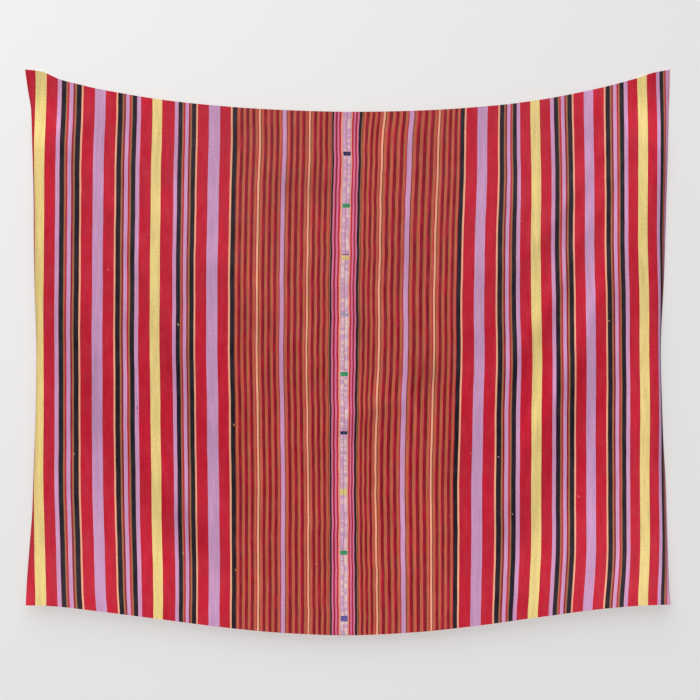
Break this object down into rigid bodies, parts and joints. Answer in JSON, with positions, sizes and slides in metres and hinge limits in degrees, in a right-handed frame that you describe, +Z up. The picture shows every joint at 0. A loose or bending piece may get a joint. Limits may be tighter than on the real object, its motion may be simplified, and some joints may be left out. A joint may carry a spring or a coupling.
{
  "type": "wall tapestry",
  "caption": "Striped hand-woven wall tapestry in red, lilac, yellow and black, its two panels joined by an embroidered seam, hung by its top corners so that it sags between them.",
  "frame": {"origin": "on the wall, midway between the two held top corners", "axes": "+Z up, +X to the viewer's right along the cloth's width, the front faces -Y and the wall is the plane y = 0"},
  "size_m": [1.5101, 0.0518, 1.3244],
  "materials": {
    "cloth": "matte"
  },
  "bodies": {
    "root": {"left_panel": "cloth", "right_panel": "cloth"}
  },
  "joints": []
}
